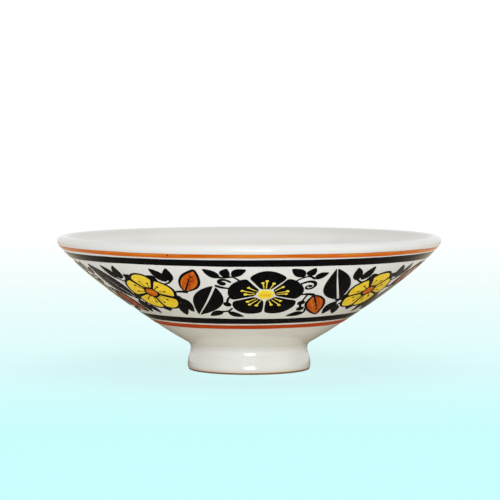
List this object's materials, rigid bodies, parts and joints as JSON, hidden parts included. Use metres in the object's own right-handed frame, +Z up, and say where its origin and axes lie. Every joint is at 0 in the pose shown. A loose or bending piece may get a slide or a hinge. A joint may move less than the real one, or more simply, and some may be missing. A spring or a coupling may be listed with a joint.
{
  "type": "tea bowl",
  "caption": "Shallow wide-mouthed ceramic tea bowl on a turned foot ring, glazed white, with an enamel band of blossoms and leaves between black and orange lines.",
  "frame": {"origin": "centre of the foot's resting ring, on the surface that the bowl stands on", "axes": "+Z up along the bowl's axis, through the middle of its mouth; -Y is the side that the picture shows"},
  "size_m": [0.155, 0.155, 0.0542],
  "materials": {
    "bare_clay": "matt unglazed",
    "white_glaze": "gloss, warm white",
    "black_enamel": "gloss black, brushed on",
    "orange_enamel": "gloss orange, brushed on",
    "red_orange_enamel": "gloss red-orange, brushed on",
    "yellow_enamel": "gloss yellow, brushed on"
  },
  "bodies": {
    "root": {"clay_bowl": "bare_clay", "foot_ring": "bare_clay", "inside_glaze": "white_glaze", "outside_glaze": "white_glaze", "foot_well_glaze": "white_glaze", "upper_orange_line": "orange_enamel", "upper_black_line": "black_enamel", "lower_black_line": "black_enamel", "lower_orange_line": "red_orange_enamel", "black_blossom_1": "black_enamel", "yellow_blossom_1": "yellow_enamel", "black_blossom_2": "black_enamel", "yellow_blossom_2": "yellow_enamel", "black_blossom_3": "black_enamel", "yellow_blossom_3": "yellow_enamel", "black_blossom_4": "black_enamel", "yellow_blossom_4": "yellow_enamel", "black_leaf_1": "black_enamel", "orange_leaf_1": "orange_enamel", "black_leaf_2": "black_enamel", "orange_leaf_2": "orange_enamel", "black_leaf_3": "black_enamel", "orange_leaf_3": "orange_enamel", "black_leaf_4": "black_enamel", "orange_leaf_4": "orange_enamel", "black_leaf_5": "black_enamel", "orange_leaf_5": "orange_enamel", "black_leaf_6": "black_enamel", "orange_leaf_6": "orange_enamel", "black_leaf_7": "black_enamel", "orange_leaf_7": "orange_enamel", "black_leaf_8": "black_enamel", "orange_leaf_8": "orange_enamel"}
  },
  "joints": []
}
